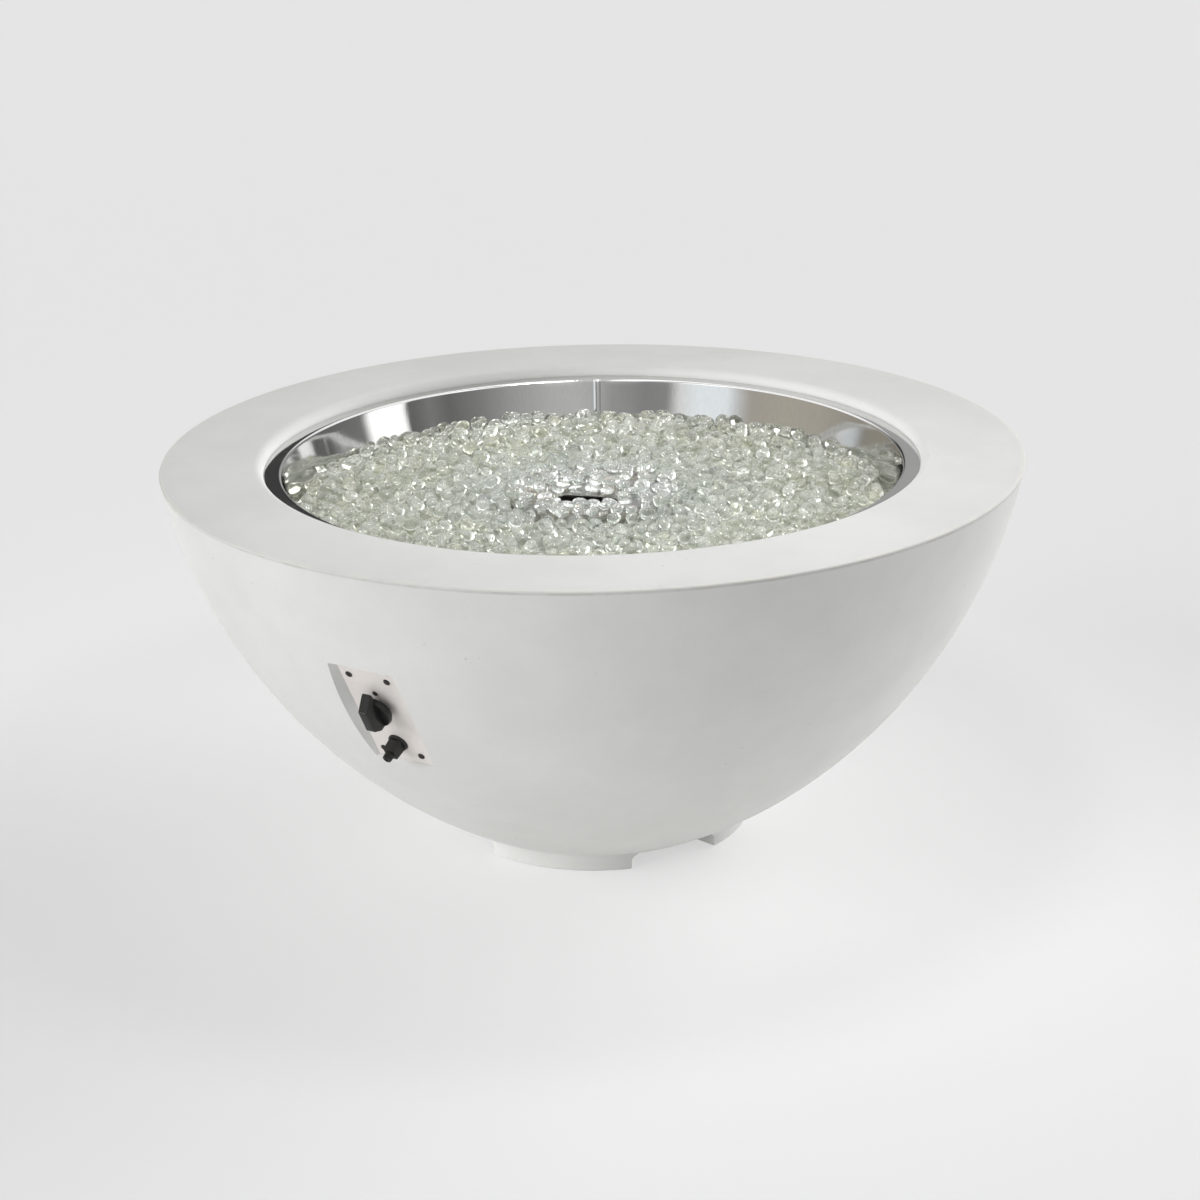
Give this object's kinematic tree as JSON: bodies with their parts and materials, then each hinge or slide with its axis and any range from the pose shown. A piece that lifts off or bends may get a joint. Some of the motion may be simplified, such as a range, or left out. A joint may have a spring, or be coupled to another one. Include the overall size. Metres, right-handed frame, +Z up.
{
  "type": "gas fire pit bowl",
  "caption": "Round cast concrete fire pit bowl on cast feet, with a drop-in burner pan of fire glass, a gas control knob and a push-button igniter in a side panel.",
  "frame": {"origin": "centre of the bowl's footprint on the floor, on the bowl's axis", "axes": "+Z up along the bowl's axis; -Y towards the control panel; +X to the right of someone who faces the panel"},
  "size_m": [1.0664, 1.066, 0.49],
  "materials": {
    "concrete": "matte cast",
    "stainless": "polished",
    "panel_steel": "satin",
    "brass": "turned",
    "fire_glass": "smooth",
    "black_plastic": "moulded",
    "black_steel": "satin",
    "pale_plastic": "smooth",
    "spring_steel": "wire",
    "ceramic": "smooth",
    "hose": "corrugated",
    "red_sleeve": "matte",
    "green_sleeve": "matte",
    "battery": "satin"
  },
  "bodies": {
    "fire_pit": {"bowl": "concrete", "bowl_feet": "concrete", "burner_pan": "stainless", "pan_floor": "stainless", "burner_drum": "stainless", "burner_plate": "stainless", "burner_bolts": "stainless", "burner_nuts": "stainless", "deflector": "stainless", "inlet_nipple": "brass", "nipple_nut": "brass", "air_mixer": "brass", "gas_orifice": "brass", "elbow_fitting": "brass", "connector_hose": "hose", "hose_nuts": "brass", "fire_glass": "fire_glass", "control_panel": "panel_steel", "panel_screws": "black_steel", "valve_screws": "black_steel", "valve_body": "brass", "valve_bonnet": "brass", "valve_spring": "spring_steel", "valve_outlet": "brass", "gas_inlet": "brass", "igniter_housing": "black_plastic", "igniter_cap": "black_plastic", "igniter_nut": "black_plastic", "igniter_spring": "spring_steel", "igniter_battery": "battery", "electrode_rod": "stainless", "electrode_insulator": "ceramic", "electrode_bracket": "stainless", "ignition_lead": "red_sleeve", "ground_wire": "green_sleeve"},
    "valve_pusher": {"valve_spring_cup": "spring_steel"},
    "control_knob": {"knob": "black_plastic", "knob_pointer": "pale_plastic", "valve_stem": "spring_steel"},
    "valve_rotor": {"valve_plug": "brass"},
    "igniter_push": {"igniter_button": "black_plastic"}
  },
  "joints": [
    {"name": "knob_push", "type": "slide", "parent": "fire_pit", "child": "valve_pusher", "axis": [0, 0.887, 0.4617], "range_m": [0, 0.003], "stiffness_N_per_m": 1500, "deforming": ["valve_spring"]},
    {"name": "knob_turn", "type": "hinge", "parent": "valve_pusher", "child": "control_knob", "pos_m": [0, -0.45982, 0.30859], "axis": [0, -0.887, -0.4617], "range_deg": [0, 180]},
    {"name": "plug_turn", "type": "hinge", "parent": "fire_pit", "child": "valve_rotor", "pos_m": [0, -0.42435, 0.32706], "axis": [0, -0.887, -0.4617], "range_deg": [0, 180]},
    {"name": "igniter_press", "type": "slide", "parent": "fire_pit", "child": "igniter_push", "axis": [0, 0.887, 0.4617], "range_m": [0, 0.0045], "stiffness_N_per_m": 900, "deforming": ["igniter_spring"]}
  ],
  "couplings": [
    {"joint": "plug_turn", "follows": "knob_turn", "ratio": 1}
  ]
}
